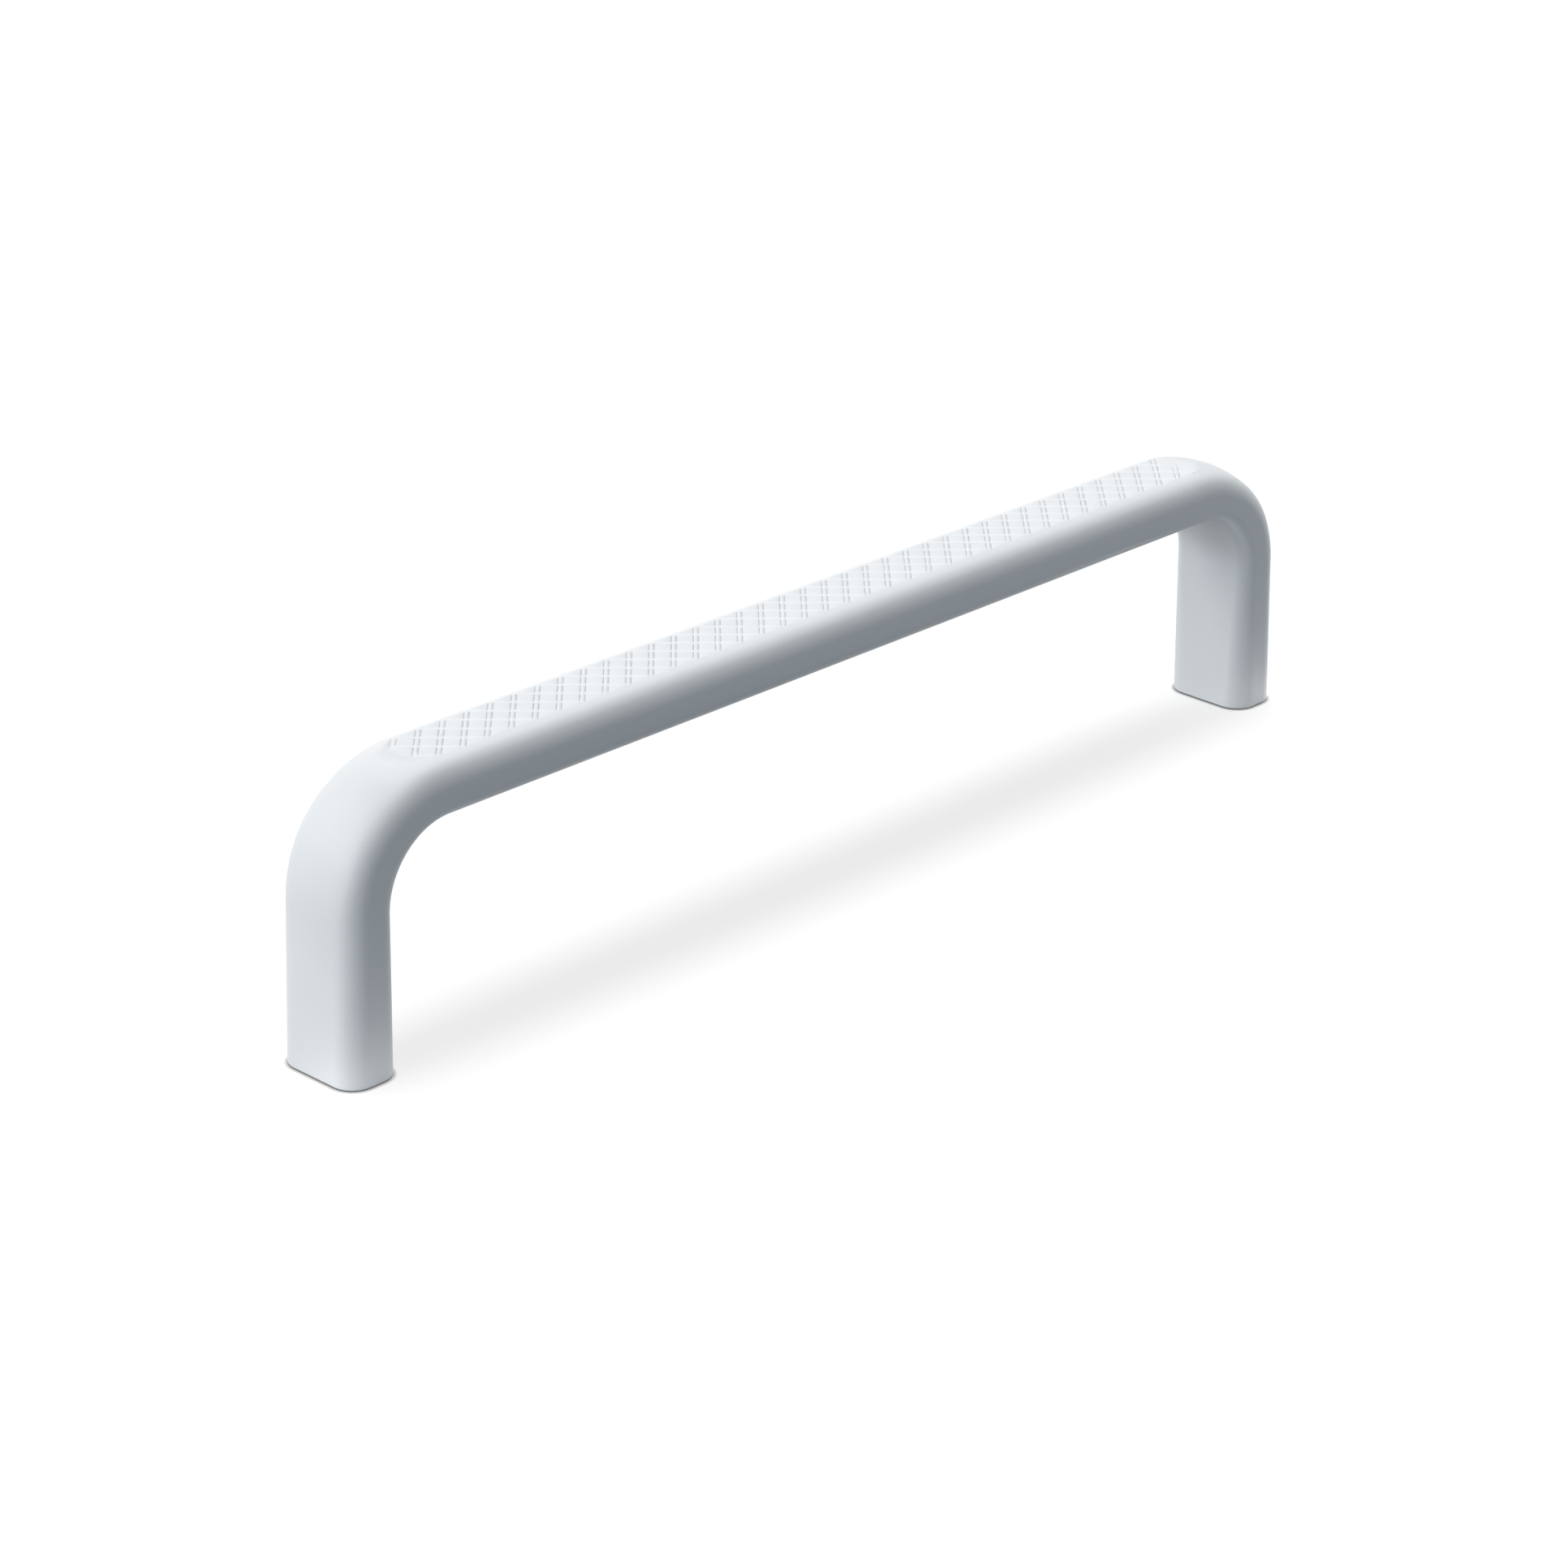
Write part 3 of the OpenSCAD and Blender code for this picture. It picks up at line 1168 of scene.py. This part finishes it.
def background_rays(tree, x, y):
    """One where a ray should see the white background, and nought where it lights the handle."""
    rays = node_at(tree, "ShaderNodeLightPath", x, y)
    first = maths(tree, "MAXIMUM", x + 200, y)
    second = maths(tree, "MAXIMUM", x + 400, y)
    wire(
        tree,
        (rays, "Is Camera Ray", first, 0),
        (rays, "Is Glossy Ray", first, 1),
        (first, "Value", second, 0),
        (rays, "Is Transmission Ray", second, 1),
    )
    return second


# The floor as it is seen, and as it throws light back, with a painted pool of brighter bounce light in
# front of the feet
FLOOR_GLOW = 0.75
FLOOR_TONE = (0.3, 0.3, 0.3, 1.0)
FLOOR_BOUNCE = (0.146, 0.166, 0.182, 1.0)
PAINTED_POOL_BOUNCE = (0.96, 0.98, 1.0, 1.0)
PAINTED_POOL_REACH = 0.016
PAINTED_POOL_FRONT = 0.009
# Painted contact shadow: a dark line where the feet meet the floor
CONTACT_SHADOW_REACH = 0.0006
CONTACT_SHADOW_POWER = 1.2
# How far the floor lies below the feet
FLOOR_DROP = 0.00002


def painted_pool_nearness(tree, half_pitch):
    """Mask of the painted pool of bounce light: one on the floor in front of each foot, falling to
    nought at a reach from there.
    """
    place = node_at(tree, "ShaderNodeTexCoord", -2100, -300)
    split = node_at(tree, "ShaderNodeSeparateXYZ", -1900, -300)
    mirrored = maths(tree, "ABSOLUTE", -1700, -200)
    beside = maths(tree, "SUBTRACT", -1500, -200, half_pitch)
    before = maths(tree, "ADD", -1500, -400, PAINTED_POOL_FRONT)
    joined = node_at(tree, "ShaderNodeCombineXYZ", -1300, -300)
    away = node_at(tree, "ShaderNodeVectorMath", -1100, -300)
    away.operation = "LENGTH"
    near = map_range(tree, -900, -300, (0.0, PAINTED_POOL_REACH), (1.0, 0.0))
    wire(
        tree,
        (place, "Object", split, "Vector"),
        (split, "X", mirrored, 0),
        (mirrored, "Value", beside, 0),
        (beside, "Value", joined, "X"),
        (split, "Y", before, 0),
        (before, "Value", joined, "Y"),
        (joined, "Vector", away, 0),
        (away, "Value", near, "Value"),
    )
    return near


def colour_mix(tree, x, y, first, second):
    mix = node_at(tree, "ShaderNodeMix", x, y)
    mix.data_type = "RGBA"
    mix.inputs["A"].default_value = first
    mix.inputs["B"].default_value = second
    return mix


def pale_floor(half_pitch):
    """White floor that keeps the shadow of the handle and throws little light back, with a painted
    contact shadow at the feet and a painted pool of bounce light in front of them.
    """
    finish = empty_finish("pale_floor")
    tree = finish.node_tree
    seen = background_rays(tree, -1300, 400)
    painted_pool_mask = painted_pool_nearness(tree, half_pitch)
    rays = node_at(tree, "ShaderNodeLightPath", -900, 100)
    # Painted pool of bounce light: the floor throws more light back in front of the feet
    bounce = colour_mix(tree, -700, -250, FLOOR_BOUNCE, PAINTED_POOL_BOUNCE)
    tone = colour_mix(tree, -550, -50, FLOOR_BOUNCE, FLOOR_TONE)
    # Painted contact shadow round the feet, darkening both the floor's colour and its glow
    painted_contact_shadow = node_at(tree, "ShaderNodeAmbientOcclusion", -700, 200)
    painted_contact_shadow.inputs["Distance"].default_value = CONTACT_SHADOW_REACH
    deeper_contact_shadow = maths(tree, "POWER", -600, 250, CONTACT_SHADOW_POWER)
    shaded = node_at(tree, "ShaderNodeVectorMath", -500, -250)
    shaded.operation = "SCALE"
    level = maths(tree, "MULTIPLY", -600, 400, FLOOR_GLOW)
    paint = node_at(tree, "ShaderNodeBsdfDiffuse", -400, -50)
    glow = node_at(tree, "ShaderNodeEmission", -400, 200)
    both = node_at(tree, "ShaderNodeAddShader", -200, 100)
    out = node_at(tree, "ShaderNodeOutputMaterial", 0, 100)
    wire(
        tree,
        (painted_pool_mask, "Result", bounce, "Factor"),
        (rays, "Is Camera Ray", tone, "Factor"),
        (bounce, "Result", tone, "A"),
        (painted_contact_shadow, "AO", deeper_contact_shadow, 0),
        (tone, "Result", shaded, "Vector"),
        (deeper_contact_shadow, "Value", shaded, "Scale"),
        (shaded, "Vector", paint, "Color"),
        (seen, "Value", level, 0),
        (level, "Value", glow, "Strength"),
        (deeper_contact_shadow, "Value", glow, "Color"),
        (glow, "Emission", both, 0),
        (paint, "BSDF", both, 1),
        (both, "Shader", out, "Surface"),
    )
    return finish


def light_room(scene):
    """White background that the camera and the gloss see, and that lights nothing else."""
    world = bpy.data.worlds.new("studio")
    world.use_nodes = True
    tree = world.node_tree
    tree.nodes.clear()
    seen = background_rays(tree, -700, 0)
    room = node_at(tree, "ShaderNodeBackground", -100, 0)
    room.inputs["Color"].default_value = (1.0, 1.0, 1.0, 1.0)
    out = node_at(tree, "ShaderNodeOutputWorld", 100, 0)
    wire(
        tree,
        (seen, "Value", room, "Strength"),
        (room, "Background", out, "Surface"),
    )
    scene.world = world


# Each lamp's azimuth, elevation and angular width in degrees, its strength and its colour
NEUTRAL = (1.0, 1.0, 1.0)
COOL = (0.965, 1.0, 1.025)
BLUE = (0.8, 1.0, 1.16)
LAMPS = {
    "left_softbox": (180, 22, 45, 1.06, NEUTRAL),
    "right_softbox": (0, 35, 45, 1.6, COOL),
    "rear_left_softbox": (135, 35, 45, 1.48, COOL),
    "rear_softbox": (45, 60, 45, 0.68, NEUTRAL),
    "fill": (225, 24, 60, 0.3, BLUE),
}
# Lamps that would burn out the top of the bar when it is seen along its length
OUT_OF_GLOSS = ("left_softbox", "rear_left_softbox", "right_softbox")
FLOOR_LAMP = (90, 85.1, 34, 3.49, NEUTRAL)


def light_group(name, floor, state):
    """Collection that tells a lamp whether it lights the floor."""
    group = bpy.data.collections.new(name)
    group.objects.link(floor)
    group.collection_objects[0].light_linking.link_state = state
    return group


def add_lamp(name, aim, level, group):
    """Adds a soft lamp that lights what its group tells it to."""
    azimuth, elevation, width, strength, colour = aim
    turn = radians(azimuth)
    rise = radians(elevation)
    towards = Vector((cos(turn) * cos(rise), sin(turn) * cos(rise), sin(rise)))
    lamp = bpy.data.lights.new(name, "SUN")
    lamp.energy = strength * level
    lamp.color = colour
    lamp.angle = radians(width)
    holder = bpy.data.objects.new(name, lamp)
    holder.visible_glossy = name not in OUT_OF_GLOSS
    holder.rotation_euler = towards.to_track_quat("Z", "Y").to_euler()
    holder.location = towards
    bpy.context.scene.collection.objects.link(holder)
    holder.light_linking.receiver_collection = group


def light_lamps(stage, floor):
    """Lights the handle from the sides and the back, and the floor from above."""
    for name, aim in LAMPS.items():
        add_lamp(name, aim, stage.lamp_level, light_group(name + "_on_handle", floor, "EXCLUDE"))
    add_lamp("floor_softbox", FLOOR_LAMP, stage.lamp_level, light_group("on_floor", floor, "INCLUDE"))


SENSOR_WIDTH = 36
CLIP_START = 0.01


def place_camera(stage):
    """Sets the camera at its turn, height and distance from the point that it looks at."""
    azimuth = stage.camera_azimuth
    elevation = stage.camera_elevation
    back = Vector((sin(azimuth) * cos(elevation), -cos(azimuth) * cos(elevation), sin(elevation)))
    right = Vector((cos(azimuth), sin(azimuth), 0.0))
    up = back.cross(right)
    roll = stage.camera_roll
    side = cos(roll) * right + sin(roll) * up
    above = cos(roll) * up - sin(roll) * right
    place = Vector(stage.camera_target) + back * stage.camera_distance
    view = Matrix((side, above, back)).transposed().to_4x4()
    view.translation = place
    data = bpy.data.cameras.new("photo_camera")
    data.lens = stage.camera_lens
    data.sensor_width = SENSOR_WIDTH
    data.sensor_fit = "HORIZONTAL"
    data.clip_start = CLIP_START
    camera = bpy.data.objects.new("photo_camera", data)
    camera.matrix_world = view
    bpy.context.scene.collection.objects.link(camera)
    bpy.context.scene.camera = camera


class HANDLE_OT_stage(Operator):
    """Set up the camera, the lamps and the pale floor"""

    bl_idname = "handle.stage"
    bl_label = "Stage"

    def execute(self, context):
        scene = context.scene
        stage = scene.stage_settings
        scene.view_settings.view_transform = "Standard"
        place_camera(stage)
        light_room(scene)
        reach = stage.floor_reach
        data = bpy.data.meshes.new("floor")
        corners = [(-reach, -reach, 0), (reach, -reach, 0), (reach, reach, 0), (-reach, reach, 0)]
        data.from_pydata(corners, [], [(0, 1, 2, 3)])
        data.materials.append(pale_floor(scene.bow_sizes.hole_pitch / 2))
        floor = bpy.data.objects.new("floor", data)
        floor.location.z = -FLOOR_DROP
        scene.collection.objects.link(floor)
        light_lamps(stage, floor)
        return {"FINISHED"}


class HANDLE_PT_sidebar(Panel):
    """Sizes, finishes and steps of the handle"""

    bl_idname = "HANDLE_PT_sidebar"
    bl_label = "Bow pull handle"
    bl_space_type = "VIEW_3D"
    bl_region_type = "UI"
    bl_category = "Handle"

    def draw(self, context):
        scene = context.scene
        groups = (
            ("Stage", scene.stage_settings, "handle.stage"),
            ("Bow", scene.bow_sizes, "handle.bow"),
            ("Grip panel", scene.panel_sizes, None),
            ("Bushes", scene.bush_sizes, "handle.bushes"),
            ("Finishes", scene.finishes, None),
        )
        for title, group, operator in groups:
            box = self.layout.box()
            box.label(text=title)
            for name in group.__annotations__:
                box.prop(group, name)
            if operator:
                box.operator(operator)


GROUPS = {
    "bow_sizes": BowSizes,
    "panel_sizes": PanelSizes,
    "bush_sizes": BushSizes,
    "finishes": Finishes,
    "stage_settings": StageSettings,
}
TOOLS = (HANDLE_OT_stage, HANDLE_OT_bow, HANDLE_OT_bushes, HANDLE_PT_sidebar)


def register():
    for name, group in GROUPS.items():
        bpy.utils.register_class(group)
        setattr(bpy.types.Scene, name, PointerProperty(type=group))
    for tool in TOOLS:
        bpy.utils.register_class(tool)


def unregister():
    for tool in reversed(TOOLS):
        bpy.utils.unregister_class(tool)
    for name, group in reversed(GROUPS.items()):
        delattr(bpy.types.Scene, name)
        bpy.utils.unregister_class(group)


def main():
    register()
    bpy.ops.handle.stage()
    bpy.ops.handle.bow()
    bpy.ops.handle.bushes()


if __name__ == "__main__":
    main()
